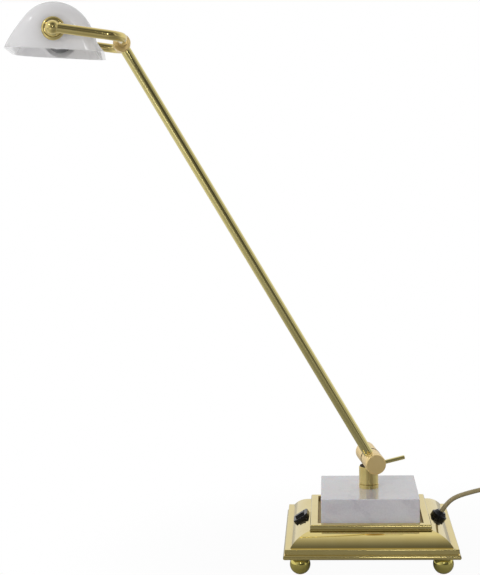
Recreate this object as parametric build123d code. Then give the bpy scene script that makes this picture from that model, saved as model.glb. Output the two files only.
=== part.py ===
from build123d import *

import os
from math import cos, pi, radians, sin, tan

# Swing arm desk lamp: a brass base with a marble slab, a pivoting arm and an opal glass shade.
# Millimetres. The origin is the middle of the base on the table, X to the right, Y to the back, Z up.
# The post and all that it carries are laid out in the arm's plane, then turned about Z to where they rest.

# Clearances
RUNNING = 0.05
SLIP = 0.15
OVERRUN = 5.0

# Base moulding, from the table up
BASE_WIDTH = 170.0
BASE_WALL = 2.0
BEAD_HEIGHT = 4.4
BEAD_ROUND = 1.4
GROOVE_HEIGHT = 1.4
GROOVE_DEPTH = 1.2
BAND_SETBACK = 1.6
BAND_HEIGHT = 4.2
BAND_ROUND = 0.9
LEDGE_WIDTH = 5.2
SLOPE_WIDTH = 18.6
SLOPE_HEIGHT = 11.8
SLOPE_BULGE = 2.4
STEP_HEIGHT = 0.6
NECK_HEIGHT = 0.8
NECK_DEPTH = 1.2
FRAME_SETBACK = 0.6
FRAME_HEIGHT = 4.0
FRAME_ROUND = 1.9
FRAME_RIM = 7.5
TRAY_DEPTH = 4.8

# Feet, their studs and the plate that they clamp
FOOT_DIA = 20.0
FOOT_FLAT = 0.5
FOOT_SINK = 1.9
FOOT_INSET = 16.0
PLATE_THICKNESS = 1.5
STUD_DIA = 4.0
STUD_GRIP = 9.0
LUG_DIA = 12.0

# Marble slab and ballast
MARBLE_MARGIN = 3.3
MARBLE_HEIGHT = 27.5
MARBLE_EDGE = 0.8
BALLAST_MARGIN = 7.6
BALLAST_HEIGHT = 10.5
BALLAST_EDGE = 2.0

# Tie tube through the stack
TIE_DIA = 10.0
TIE_BORE = 7.0
TIE_TAIL = 5.0
TIE_WASHER_DIA = 22.0
TIE_WASHER_THICKNESS = 1.5
TIE_NUT_ACROSS = 14.0
TIE_NUT_HEIGHT = 4.5

# Post and its swivel
POST_DIA = 19.2
POST_HEIGHT = 17.9
POST_EDGE = 0.6
COLLAR_DIA = 19.6
COLLAR_HEIGHT = 3.7
COLLAR_SOCKET = 7.5
SPIGOT_DIA = 13.0
SPIGOT_HEIGHT = 13.0
NECK_DIA = 9.0
NECK_SEAT = 4.0
POST_WASHER_DIA = 17.4
POST_WASHER_THICKNESS = 0.9
SWIVEL_ANGLE = 8.4

# Horizontal barrel on the post, in three lengths with a dark washer between
BARREL_DIA = 20.0
BARREL_GAP = 1.2
BARREL_EDGE = 1.0
REAR_BEHIND = 18.2
REAR_AHEAD = 13.4
WASHER_DIA = 20.4
WASHER_THICKNESS = 1.6
HUB_LENGTH = 22.0
HUB_EDGE = 0.4
KNOB_LENGTH = 5.6
KNOB_EDGE = 1.6
KNOB_SEAM = 0.3
BOLT_DIA = 6.0
BOLT_GRIP = 20.0
BOLT_END = 2.4
LEVER_DIA = 4.0
LEVER_REACH = 29.5
LEVER_SEAT = 5.0
LEVER_RISE = 12.0

# Arm
ARM_DIA = 10.0
ARM_WALL = 1.0
ARM_REACH = 474.3
ARM_LEAN = 29.8
ARM_SEAT = 5.0
TOP_DIA = 16.4
TOP_LENGTH = 28.0
TOP_EDGE = 0.8
TOP_SEAT = 3.1

# Yoke
YOKE_DIA = 8.8
YOKE_WALL = 1.0
YOKE_BEND = 13.0
PRONG_LENGTH = 61.0
PRONG_RISE = 8.7
PRONG_SEAT = 3.0
SPINDLE_LENGTH = 26.0
BALL_DIA = 12.6
BALL_STAND = 13.5
KNOB_STUD_DIA = 5.0

# Shade: sizes from its pivot axis, and where its arcs join as shares of them
SHADE_LENGTH = 162.0
SHADE_FRONT = 48.1
SHADE_BACK = 41.8
SHADE_RISE = 24.3
SHADE_DROP = 17.6
SHADE_RIM_TILT = 3.8
SHADE_WALL = 2.2
SHADE_CORNER = 33.0
SHADE_END_ROUND = 12.0
SHADE_TOE = 0.5
SHADE_SKIRT = 30.0
SHADE_BORE = 7.0
FRONT_SHOULDER_SHARES = (0.49, 0.575)
BACK_SHOULDER_SHARES = (0.677, 0.416)
FLARE_SHARES = (0.891, 0.505)

# Rosettes, washers and nut at the shade's pivots
ROSETTE_DIA = 21.0
ROSETTE_RIM = 2.6
ROSETTE_ROUND = 3.0
ROSETTE_HUB_DIA = 9.0
SHADE_WASHER_DIA = 33.6
SHADE_WASHER_SEAT_DIA = 20.0
SHADE_WASHER_DISH = 1.7
SHADE_WASHER_THICKNESS = 1.0
NUT_ACROSS = 8.0
NUT_HEIGHT = 4.0

# Lampholder and tube bulb
HOLDER_DIA = 26.0
HOLDER_FOOT_DIA = 18.0
HOLDER_FOOT_LENGTH = 8.0
HOLDER_LENGTH = 30.0
HOLDER_SKIRT = 10.0
HOLDER_SKIRT_DIA = 21.0
HOLDER_BORE = 14.6
CAP_DIA = 14.0
CAP_LENGTH = 16.0
CAP_TIP_DIA = 7.0
CAP_TIP_LENGTH = 2.0
BULB_DIA = 25.0
BULB_LENGTH = 70.0
BULB_NECK_DIA = 13.0
BULB_WALL = 0.8
BULB_BELLY_SHARE = 0.45
BULB_NECK_HEADING = (0.35, -1.0)
BULB_TIP_HEADING = (-1.0, -0.6)
BULB_TIP_DIA = 4.0
FILAMENT_DIA = 1.0
FILAMENT_SPAN = 8.0
FILAMENT_LENGTH = 34.0

# Rocker switch on the left slope
SWITCH_CLIMB = 2.2
BEZEL_RIM = 1.6
BEZEL_HEIGHT = 2.8
BEZEL_ROUND = 3.5
BEZEL_EDGE = 0.9
SWITCH_WALL = 1.1
SWITCH_SIDE = 1.7
SWITCH_DEPTH = 10.0
ROCKER_LENGTH = 14.0
ROCKER_WIDTH = 8.8
ROCKER_RISE = 4.0
ROCKER_DIP = 1.1
ROCKER_DEPTH = 2.4
ROCKER_TILT = 8.0
ROCKER_GAP = 0.45
ROCKER_SWING = 1.4
TRUNNION_DIA = 2.0
TRUNNION_LENGTH = 1.2
TRUNNION_HEIGHT = 0.4

# Bush on the right slope
BUSH_CLIMB = 1.2
BUSH_DIA = 16.0
BUSH_HEIGHT = 4.0
BUSH_NOSE_DIA = 13.5
BUSH_NOSE_HEIGHT = 3.2
BUSH_SHANK_DIA = 9.0
BUSH_SHANK_LENGTH = 8.0

# Mains lead: its route from the bush to the coil, X counted from the base's right side
CORD_DIA = 4.6
CORD_ARC_SHARE = 0.45
CORD_EXIT_RUN = 8.4
CORD_ROUTE = [
    (1.2, 0.5, 56.6),
    (18.0, 2.0, 61.4),
    (35.0, 5.5, 64.3),
    (51.0, 11.0, 60.0),
    (63.0, 17.0, 49.0),
    (71.5, 22.5, 35.0),
    (79.0, 27.5, 21.0),
    (90.0, 32.5, 8.6),
    (103.5, 36.0, 3.4),
    (117.0, 36.0, 3.4),
]
COIL_GAP = 0.6
COIL_OUTER = 30.5
COIL_HALF_TURNS = (4, 4, 4, 3)
TIE_STRAP = 0.8
TIE_STRAP_WIDTH = 6.0
TIE_SIDE_GAP = 0.9
TIE_UNDER_GAP = 0.3
TAIL_ROUTE = [(0.0, 22.0, 0.0), (0.0, 36.0, -4.2), (0.0, 52.0, -12.0), (0.0, 68.0, -12.0)]
PLUG_SLEEVE = 18.0
PLUG_SLEEVE_DIA = 6.4
PLUG_LENGTH = 36.0
PLUG_TAPER = 16.0
PLUG_WIDTH = 34.0
PLUG_HEIGHT = 14.0
PLUG_NECK = 9.0
PLUG_ROUND = 3.0
PIN_DIA = 4.0
PIN_LENGTH = 19.0
PIN_SPREAD = 18.6

# Heights and reaches that follow from the sizes above
BASE_Z = FOOT_DIA - FOOT_FLAT - FOOT_SINK
BEAD_REACH = BASE_WIDTH / 2
BAND_REACH = BEAD_REACH - BAND_SETBACK
GROOVE_REACH = BAND_REACH - GROOVE_DEPTH
BEAD_TOP = BASE_Z + BEAD_HEIGHT
GROOVE_TOP = BEAD_TOP + GROOVE_HEIGHT
LEDGE_Z = GROOVE_TOP + BAND_HEIGHT
SLOPE_FOOT = BAND_REACH - LEDGE_WIDTH
SLOPE_HEAD = SLOPE_FOOT - SLOPE_WIDTH
SLOPE_TOP = LEDGE_Z + SLOPE_HEIGHT
STEP_TOP = SLOPE_TOP + STEP_HEIGHT
NECK_TOP = STEP_TOP + NECK_HEIGHT
FRAME_TOP = NECK_TOP + FRAME_HEIGHT
FRAME_REACH = SLOPE_HEAD - FRAME_SETBACK
NECK_REACH = FRAME_REACH - NECK_DEPTH
TRAY_WIDTH = 2 * (FRAME_REACH - FRAME_RIM)
TRAY_FLOOR = FRAME_TOP - TRAY_DEPTH
CAVITY_REACH = GROOVE_REACH - BASE_WALL
FOOT_REACH = BASE_WIDTH / 2 - FOOT_INSET
PLATE_TOP = BASE_Z + PLATE_THICKNESS
MARBLE_WIDTH = TRAY_WIDTH - 2 * MARBLE_MARGIN
MARBLE_TOP = TRAY_FLOOR + MARBLE_HEIGHT
BALLAST_WIDTH = 2 * (SLOPE_HEAD - BALLAST_MARGIN)
BALLAST_TOP = TRAY_FLOOR - BASE_WALL
BALLAST_BOTTOM = BALLAST_TOP - BALLAST_HEIGHT
TIE_WASHER_BOTTOM = BALLAST_BOTTOM - TIE_WASHER_THICKNESS
COLLAR_TOP = MARBLE_TOP + COLLAR_HEIGHT
POST_BOTTOM = COLLAR_TOP + SLIP
POST_TOP = POST_BOTTOM + POST_HEIGHT
BARREL_Z = POST_TOP + BARREL_GAP + BARREL_DIA / 2

# Places along the barrel, counted from the post's axis towards the front
WASHER_FRONT = REAR_AHEAD + WASHER_THICKNESS
HUB_BACK = WASHER_FRONT + SLIP
HUB_FRONT = HUB_BACK + HUB_LENGTH
ARM_OFFSET = HUB_BACK + HUB_LENGTH / 2
KNOB_BACK = HUB_FRONT + KNOB_SEAM
KNOB_FRONT = KNOB_BACK + KNOB_LENGTH

# Widths across the yoke and the switch
YOKE_SPREAD = SHADE_LENGTH + 2 * BALL_STAND
WINDOW_LENGTH = ROCKER_LENGTH + 2 * ROCKER_SWING
WINDOW_WIDTH = ROCKER_WIDTH + 2 * ROCKER_GAP
SWITCH_LENGTH = WINDOW_LENGTH + 2 * SWITCH_WALL
SWITCH_WIDTH = WINDOW_WIDTH + 2 * SWITCH_SIDE
BEZEL_LENGTH = SWITCH_LENGTH + 2 * BEZEL_RIM
BEZEL_WIDTH = SWITCH_WIDTH + 2 * BEZEL_RIM

BOTTOM = (Align.CENTER, Align.CENTER, Align.MIN)
SIDES = {"near": 1, "far": -1}
CORNERS = {"front_left": (-1, -1), "front_right": (1, -1), "back_left": (-1, 1), "back_right": (1, 1)}

# Working places: the arm's direction, its top joint and the shade's pivot axis
ARM_DIRECTION = Vector(-sin(radians(ARM_LEAN)), 0, cos(radians(ARM_LEAN)))
PRONG_DIRECTION = Vector(-cos(radians(PRONG_RISE)), 0, sin(radians(PRONG_RISE)))
HUB_POINT = Vector(0, -ARM_OFFSET, BARREL_Z)
TOP_POINT = HUB_POINT + ARM_DIRECTION * ARM_REACH
SHADE_POINT = TOP_POINT + PRONG_DIRECTION * PRONG_LENGTH
BARREL_PLANE = Plane(origin=(0, 0, BARREL_Z), x_dir=(1, 0, 0), z_dir=(0, -1, 0))
ARM_PLANE = Plane(origin=HUB_POINT, x_dir=(0, 1, 0), z_dir=ARM_DIRECTION)
TOP_PLANE = Plane(origin=TOP_POINT, x_dir=(1, 0, 0), z_dir=(0, -1, 0))

# Seats of the switch and the bush, up the right slope from the middle of its arc;
# the switch is mirrored to the left
SLOPE_NORMAL = Vector(SLOPE_HEIGHT, 0, SLOPE_WIDTH).normalized()
SLOPE_CLIMB = Vector(-SLOPE_WIDTH, 0, SLOPE_HEIGHT).normalized()
SLOPE_CHORD_MIDDLE = Vector((SLOPE_FOOT + SLOPE_HEAD) / 2, 0, (LEDGE_Z + SLOPE_TOP) / 2)
SLOPE_MIDDLE = SLOPE_CHORD_MIDDLE + SLOPE_NORMAL * SLOPE_BULGE
BUSH_SEAT = SLOPE_MIDDLE + SLOPE_CLIMB * BUSH_CLIMB
SWITCH_SEAT = SLOPE_MIDDLE + SLOPE_CLIMB * SWITCH_CLIMB
BUSH_PLANE = Plane(origin=BUSH_SEAT, x_dir=(0, 1, 0), z_dir=SLOPE_NORMAL)
SWITCH_PLANE = Plane(
    origin=(-SWITCH_SEAT.X, 0, SWITCH_SEAT.Z), x_dir=(0, 1, 0), z_dir=(-SLOPE_NORMAL.X, 0, SLOPE_NORMAL.Z)
)


def rod(diameter, start, end):
    """A round bar along local Z."""
    return Pos(0, 0, start) * Cylinder(diameter / 2, end - start, align=BOTTOM)


def ring(outer, inner, start, end):
    """A round tube along local Z."""
    return rod(outer, start, end) - rod(inner, start - OVERRUN, end + OVERRUN)


def turned(*points):
    """A solid of revolution about local Z from the radius and height of each corner."""
    return revolve(Plane.XZ * make_face(Polyline(*points, close=True)), axis=Axis.Z)


def block(width, bottom, top):
    """A square block round the Z axis."""
    return Pos(0, 0, bottom) * Box(width, width, top - bottom, align=BOTTOM)


def hexagon(across, bottom, top):
    """A hexagonal prism along local Z, sized across its flats."""
    flat = RegularPolygon(across / 2, 6, major_radius=False)
    return Pos(0, 0, bottom) * extrude(flat, top - bottom)


def at_pivot(side):
    """The plane of the shade's pivot on one side, with Z outwards from the middle of the shade."""
    return Plane(origin=SHADE_POINT, x_dir=(1, 0, 0), z_dir=(0, -SIDES[side], 0))


def swung(solid):
    """The solid turned with the post to its resting direction."""
    return solid.rotate(Axis.Z, SWIVEL_ANGLE)


# Base


def moulded_block(edges):
    """A square block with one moulding on all four sides: two crossed prisms of its section."""
    half = Plane.XZ * make_face(edges)
    prism = extrude(half + mirror(half, Plane.YZ), BASE_WIDTH, both=True)
    return prism & prism.rotate(Axis.Z, 90)


def slope_arc(foot, head):
    """The bulging slope from its foot up to its head."""
    middle = (Vector(*foot) + Vector(*head)) / 2 + Vector(SLOPE_NORMAL.X, SLOPE_NORMAL.Z) * SLOPE_BULGE
    return ThreePointArc(foot, middle, head)


def base_outside():
    bead_edge = BEAD_REACH - BEAD_ROUND
    frame_edge = FRAME_REACH - FRAME_ROUND
    edges = Polyline((0, FRAME_TOP), (0, BASE_Z), (bead_edge, BASE_Z))
    edges += ThreePointArc((bead_edge, BASE_Z), (BEAD_REACH, BASE_Z + BEAD_HEIGHT / 2), (bead_edge, BEAD_TOP))
    edges += Polyline(
        (bead_edge, BEAD_TOP),
        (GROOVE_REACH, BEAD_TOP),
        (GROOVE_REACH, GROOVE_TOP),
        (BAND_REACH, GROOVE_TOP),
        (BAND_REACH, LEDGE_Z - BAND_ROUND),
    )
    edges += TangentArc((BAND_REACH, LEDGE_Z - BAND_ROUND), (BAND_REACH - BAND_ROUND, LEDGE_Z), tangent=(0, 1))
    edges += Line((BAND_REACH - BAND_ROUND, LEDGE_Z), (SLOPE_FOOT, LEDGE_Z))
    edges += slope_arc((SLOPE_FOOT, LEDGE_Z), (SLOPE_HEAD, SLOPE_TOP))
    edges += Polyline(
        (SLOPE_HEAD, SLOPE_TOP),
        (SLOPE_HEAD, STEP_TOP),
        (NECK_REACH, STEP_TOP),
        (NECK_REACH, NECK_TOP),
        (FRAME_REACH, NECK_TOP),
        (FRAME_REACH, FRAME_TOP - FRAME_ROUND),
    )
    edges += TangentArc((FRAME_REACH, FRAME_TOP - FRAME_ROUND), (frame_edge, FRAME_TOP), tangent=(0, 1))
    edges += Line((frame_edge, FRAME_TOP), (0, FRAME_TOP))
    return moulded_block(edges)


def base_cavity():
    roof = TRAY_FLOOR - BASE_WALL
    ledge = LEDGE_Z - BASE_WALL
    head = SLOPE_HEAD - BASE_WALL
    foot = SLOPE_FOOT - BASE_WALL
    edges = Polyline((0, roof), (0, BASE_Z - OVERRUN), (CAVITY_REACH, BASE_Z - OVERRUN))
    edges += Polyline((CAVITY_REACH, BASE_Z - OVERRUN), (CAVITY_REACH, ledge), (foot, ledge))
    edges += slope_arc((foot, ledge), (head, roof))
    edges += Line((head, roof), (0, roof))
    return moulded_block(edges)


def at_corners(solid):
    """Copies of a solid at the four foot places."""
    return [Pos(x * FOOT_REACH, y * FOOT_REACH, 0) * solid for x, y in CORNERS.values()]


def base_shell(outside):
    lugs = Part() + [outside & lug for lug in at_corners(rod(LUG_DIA, PLATE_TOP, TRAY_FLOOR))]
    shell = outside - base_cavity() - block(TRAY_WIDTH, TRAY_FLOOR, FRAME_TOP + OVERRUN) + lugs
    shell -= at_corners(rod(STUD_DIA, PLATE_TOP - OVERRUN, PLATE_TOP + STUD_GRIP))
    shell -= rod(TIE_DIA + 2 * SLIP, BALLAST_TOP - OVERRUN, TRAY_FLOOR + OVERRUN)
    shell -= SWITCH_PLANE * Box(SWITCH_LENGTH + 2 * SLIP, SWITCH_WIDTH + 2 * SLIP, 2 * SWITCH_DEPTH)
    shell -= BUSH_PLANE * rod(BUSH_SHANK_DIA + 2 * SLIP, -BUSH_SHANK_LENGTH, OVERRUN)
    return shell


def bottom_plate():
    plate = block(2 * (CAVITY_REACH - SLIP), BASE_Z, PLATE_TOP)
    return plate - at_corners(rod(STUD_DIA + 2 * SLIP, BASE_Z - OVERRUN, PLATE_TOP + OVERRUN))


def ball_foot():
    ball = Pos(0, 0, FOOT_DIA / 2 - FOOT_FLAT) * Sphere(FOOT_DIA / 2)
    ball &= block(FOOT_DIA, 0, BASE_Z)
    return ball - rod(STUD_DIA, BASE_Z - STUD_GRIP, BASE_Z + OVERRUN)


def marble_block():
    slab = block(MARBLE_WIDTH, TRAY_FLOOR, MARBLE_TOP)
    slab = fillet(slab.edges().filter_by(Axis.Z) + slab.faces().sort_by(Axis.Z)[-1].edges(), MARBLE_EDGE)
    return slab - rod(TIE_DIA + 2 * SLIP, TRAY_FLOOR - OVERRUN, MARBLE_TOP + OVERRUN)


def ballast_weight():
    weight = block(BALLAST_WIDTH, BALLAST_BOTTOM, BALLAST_TOP)
    weight = chamfer(weight.edges().filter_by(Axis.Z), BALLAST_EDGE)
    return weight - rod(TIE_DIA + 2 * SLIP, BALLAST_BOTTOM - OVERRUN, BALLAST_TOP + OVERRUN)


def tie_nut():
    nut = hexagon(TIE_NUT_ACROSS, TIE_WASHER_BOTTOM - TIE_NUT_HEIGHT, TIE_WASHER_BOTTOM)
    return nut - rod(TIE_DIA, PLATE_TOP, BALLAST_BOTTOM)


def pivot_collar():
    collar = rod(COLLAR_DIA, MARBLE_TOP, COLLAR_TOP) + rod(SPIGOT_DIA, COLLAR_TOP, COLLAR_TOP + SPIGOT_HEIGHT)
    collar -= rod(TIE_DIA, MARBLE_TOP - OVERRUN, MARBLE_TOP + COLLAR_SOCKET)
    return collar - rod(TIE_BORE, MARBLE_TOP, COLLAR_TOP + SPIGOT_HEIGHT + OVERRUN)


# Post and barrel


def swivel_post():
    post = rod(POST_DIA, POST_BOTTOM, POST_TOP)
    post = chamfer(post.edges().filter_by(GeomType.CIRCLE), POST_EDGE)
    post += rod(NECK_DIA, POST_TOP, BARREL_Z - BARREL_DIA / 2 + NECK_SEAT)
    return post - rod(SPIGOT_DIA + 2 * RUNNING, POST_BOTTOM - OVERRUN, COLLAR_TOP + SPIGOT_HEIGHT + SLIP)


def pivot_barrel():
    barrel = rod(BARREL_DIA, -REAR_BEHIND, REAR_AHEAD)
    barrel = fillet(barrel.edges().sort_by(Axis.Z)[0], BARREL_EDGE)
    barrel -= rod(BOLT_DIA, REAR_AHEAD - BOLT_GRIP, REAR_AHEAD + OVERRUN)
    return BARREL_PLANE * barrel - rod(NECK_DIA, POST_TOP, BARREL_Z - BARREL_DIA / 2 + NECK_SEAT)


def arm_hub():
    hub = rod(BARREL_DIA, HUB_BACK, HUB_FRONT)
    hub = chamfer(hub.edges().filter_by(GeomType.CIRCLE), HUB_EDGE)
    hub -= rod(BOLT_DIA + 2 * RUNNING, HUB_BACK - OVERRUN, HUB_FRONT + OVERRUN)
    return BARREL_PLANE * hub - ARM_PLANE * rod(ARM_DIA, BARREL_DIA / 2 - ARM_SEAT, BARREL_DIA / 2 + OVERRUN)


def clamp_knob():
    knob = rod(BARREL_DIA, KNOB_BACK, KNOB_FRONT)
    knob = fillet(knob.edges().sort_by(Axis.Z)[-1], KNOB_EDGE)
    knob = chamfer(knob.edges().filter_by(GeomType.CIRCLE).sort_by(Axis.Z)[0], HUB_EDGE)
    knob -= rod(BOLT_DIA + 2 * RUNNING, KNOB_BACK - OVERRUN, KNOB_FRONT - BOLT_END + SLIP)
    return BARREL_PLANE * knob - lever_place() * rod(LEVER_DIA, LEVER_SEAT, BARREL_DIA)


def lever_place():
    """The plane of the clamp lever, with Z along it."""
    origin = (0, -(KNOB_BACK + KNOB_LENGTH / 2), BARREL_Z)
    direction = (cos(radians(LEVER_RISE)), 0, sin(radians(LEVER_RISE)))
    return Plane(origin=origin, x_dir=(0, 1, 0), z_dir=direction)


def clamp_lever():
    lever = rod(LEVER_DIA, LEVER_SEAT, LEVER_REACH)
    return lever_place() * fillet(lever.edges().sort_by(Axis.Z)[-1], LEVER_DIA / 4)


# Arm


def arm_tube():
    foot = BARREL_DIA / 2 - ARM_SEAT
    head = ARM_REACH - TOP_DIA / 2 + TOP_SEAT
    return ARM_PLANE * ring(ARM_DIA, ARM_DIA - 2 * ARM_WALL, foot, head)


def top_barrel():
    barrel = rod(TOP_DIA, -TOP_LENGTH / 2, TOP_LENGTH / 2)
    barrel = chamfer(barrel.edges().filter_by(GeomType.CIRCLE), TOP_EDGE)
    barrel -= rod(YOKE_DIA + 2 * RUNNING, -TOP_LENGTH, TOP_LENGTH)
    socket = rod(ARM_DIA, ARM_REACH - TOP_DIA, ARM_REACH - TOP_DIA / 2 + TOP_SEAT)
    return TOP_PLANE * barrel - ARM_PLANE * socket


# Yoke


def yoke_path(side):
    """From the middle of the top joint out to one side, round the bend and along the prong."""
    corner = TOP_POINT + Vector(0, -SIDES[side] * YOKE_SPREAD / 2, 0)
    end = corner + PRONG_DIRECTION * (PRONG_LENGTH - PRONG_SEAT)
    return FilletPolyline(TOP_POINT, corner, end, radius=YOKE_BEND)


def yoke_arm(side):
    section = Circle(YOKE_DIA / 2) - Circle(YOKE_DIA / 2 - YOKE_WALL)
    start = Plane(origin=TOP_POINT, x_dir=(1, 0, 0), z_dir=(0, -SIDES[side], 0))
    return sweep(start * section, path=yoke_path(side))


def yoke_ball(side):
    ball = at_pivot(side) * Pos(0, 0, YOKE_SPREAD / 2) * Sphere(BALL_DIA / 2)
    prong_plane = Plane(origin=SHADE_POINT, x_dir=(0, 1, 0), z_dir=-PRONG_DIRECTION)
    socket = prong_plane * rod(YOKE_DIA, PRONG_SEAT, BALL_DIA)
    ball -= Pos(0, -SIDES[side] * YOKE_SPREAD / 2, 0) * socket
    return ball - at_pivot(side) * rod(KNOB_STUD_DIA, 0, YOKE_SPREAD / 2)


# Shade and what holds it


def shade_arch():
    """The shade's end outline about its pivot: arcs tangent to each other, run on straight past the rim."""
    top = Vector(0, SHADE_RISE)
    front_shoulder = Vector(-SHADE_FRONT * FRONT_SHOULDER_SHARES[0], SHADE_RISE * FRONT_SHOULDER_SHARES[1])
    back_shoulder = Vector(SHADE_BACK * BACK_SHOULDER_SHARES[0], SHADE_RISE * BACK_SHOULDER_SHARES[1])
    flare = Vector(SHADE_BACK * FLARE_SHARES[0], -SHADE_DROP * FLARE_SHARES[1])
    crown_front = TangentArc(top, front_shoulder, tangent=(-1, 0))
    slope = TangentArc(front_shoulder, (-SHADE_FRONT, -SHADE_DROP), tangent=crown_front % 1)
    crown_back = TangentArc(top, back_shoulder, tangent=(1, 0))
    back = TangentArc(back_shoulder, flare, tangent=crown_back % 1)
    lip = TangentArc(flare, (SHADE_BACK, -SHADE_DROP), tangent=back % 1)
    run_on = [arc @ 1 - (arc % 1) * (SHADE_SKIRT / (arc % 1).Y) for arc in (slope, lip)]
    skirt = Polyline(slope @ 1, run_on[0], run_on[1], lip @ 1)
    return make_face([crown_front, slope, skirt, lip, back, crown_back])


def shade_plan(inset):
    """The shade from above: straight at the back, two large round corners at the front."""
    front = -SHADE_FRONT + SHADE_TOE + inset
    back = SHADE_BACK + SHADE_SKIRT
    plan = Pos((front + back) / 2, 0) * Rectangle(back - front, SHADE_LENGTH - 2 * inset)
    return fillet(plan.vertices().group_by(Axis.X)[0], SHADE_CORNER - inset)


def shade_form(arch, inset):
    """The arch drawn out along Y within the plan, its upright walls rounded into the roof."""
    walls = extrude(shade_plan(inset), SHADE_LENGTH, both=True)
    form = extrude(Plane.XZ * arch, SHADE_LENGTH, both=True) & walls
    upright = form.faces().filter_by(lambda face: round(face.normal_at().Z, 3) == 0)
    edges = upright.edges()
    kept = edges.group_by(Axis.Z)[0] + edges.filter_by(Axis.Z) + upright.sort_by(Axis.X)[0].edges()
    return fillet([edge for edge in edges if edge not in kept], SHADE_END_ROUND - inset)


def glass_shade():
    arch = shade_arch()
    form = shade_form(arch, 0) - shade_form(offset(arch, -SHADE_WALL), SHADE_WALL)
    below = Box(2 * SHADE_LENGTH, 2 * SHADE_LENGTH, 2 * SHADE_SKIRT, align=(Align.CENTER, Align.CENTER, Align.MAX))
    form -= Pos(0, 0, -SHADE_DROP) * Rot(0, SHADE_RIM_TILT, 0) * below
    form -= Plane.XZ * rod(SHADE_BORE, -SHADE_LENGTH, SHADE_LENGTH)
    return Pos(*SHADE_POINT) * form


def rosette(side):
    """A cone on the shade's end with a rounded rim, its hub towards the yoke's ball."""
    foot = SHADE_LENGTH / 2
    head = YOKE_SPREAD / 2 - BALL_DIA / 2 - SLIP
    bore = KNOB_STUD_DIA / 2 + RUNNING
    rim = ROSETTE_DIA / 2
    hub = ROSETTE_HUB_DIA / 2
    shoulder = (rim - ROSETTE_ROUND, foot + ROSETTE_RIM)
    edges = Polyline((hub, head), (bore, head), (bore, foot), (rim, foot))
    edges += TangentArc((rim, foot), shoulder, tangent=(0, 1))
    edges += Line(shoulder, (hub, head))
    return at_pivot(side) * revolve(Plane.XZ * make_face(edges), axis=Axis.Z)


def shade_washer(side):
    """A dished washer: flat on the glass round the stud, then flaring away from it."""
    outside = SHADE_LENGTH / 2 - SHADE_WALL
    bore = KNOB_STUD_DIA / 2 + RUNNING
    seat = SHADE_WASHER_SEAT_DIA / 2
    edge = SHADE_WASHER_DIA / 2
    return at_pivot(side) * turned(
        (bore, outside),
        (seat, outside),
        (edge, outside - SHADE_WASHER_DISH),
        (edge, outside - SHADE_WASHER_DISH - SHADE_WASHER_THICKNESS),
        (seat, outside - SHADE_WASHER_THICKNESS),
        (bore, outside - SHADE_WASHER_THICKNESS),
    )


WASHER_INSIDE = SHADE_LENGTH / 2 - SHADE_WALL - SHADE_WASHER_THICKNESS - SLIP


def knob_stud(side, inner):
    return at_pivot(side) * rod(KNOB_STUD_DIA, inner, YOKE_SPREAD / 2)


def stud_nut():
    nut = hexagon(NUT_ACROSS, WASHER_INSIDE - NUT_HEIGHT, WASHER_INSIDE)
    return at_pivot("near") * (nut - rod(KNOB_STUD_DIA, 0, SHADE_LENGTH))


# Lampholder and bulb, on the far pivot and pointing to the near one

HOLDER_MOUTH = WASHER_INSIDE - HOLDER_LENGTH
CAP_FOOT = HOLDER_MOUTH + CAP_LENGTH
CAP_TIP = CAP_FOOT + CAP_TIP_LENGTH


def lampholder():
    foot = WASHER_INSIDE - HOLDER_FOOT_LENGTH
    skirt = HOLDER_MOUTH + HOLDER_SKIRT
    body = turned(
        (0, WASHER_INSIDE),
        (HOLDER_FOOT_DIA / 2, WASHER_INSIDE),
        (HOLDER_DIA / 2, foot),
        (HOLDER_DIA / 2, skirt),
        (HOLDER_SKIRT_DIA / 2, HOLDER_MOUTH),
        (0, HOLDER_MOUTH),
    )
    body -= rod(HOLDER_BORE, HOLDER_MOUTH - OVERRUN, CAP_TIP)
    return at_pivot("far") * (body - rod(KNOB_STUD_DIA, foot, SHADE_LENGTH))


def bulb_cap():
    cap = rod(CAP_DIA, HOLDER_MOUTH, CAP_FOOT) + rod(CAP_TIP_DIA, CAP_FOOT, CAP_TIP)
    return at_pivot("far") * cap


def bulb_glass():
    tip = HOLDER_MOUTH - BULB_LENGTH
    belly = HOLDER_MOUTH - BULB_LENGTH * BULB_BELLY_SHARE
    outline = Spline(
        (BULB_NECK_DIA / 2, HOLDER_MOUTH),
        (BULB_DIA / 2, belly),
        (BULB_TIP_DIA / 2, tip),
        tangents=(BULB_NECK_HEADING, BULB_TIP_HEADING),
    )
    face = make_face(outline + Polyline(outline @ 1, (0, tip), (0, HOLDER_MOUTH), outline @ 0))
    bulb = revolve(Plane.XZ * face, axis=Axis.Z)
    neck = bulb.faces().sort_by(Axis.Z)[-1]
    return at_pivot("far") * offset(bulb, -BULB_WALL, openings=neck)


def bulb_filament():
    top = HOLDER_MOUTH - FILAMENT_LENGTH
    side = FILAMENT_SPAN / 2
    path = Plane.XZ * FilletPolyline(
        (-side, HOLDER_MOUTH), (-side, top), (side, top), (side, HOLDER_MOUTH), radius=FILAMENT_SPAN / 4
    )
    section = Pos(-side, 0, HOLDER_MOUTH) * Circle(FILAMENT_DIA / 2)
    return at_pivot("far") * sweep(section, path=path)


# Switch


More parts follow.
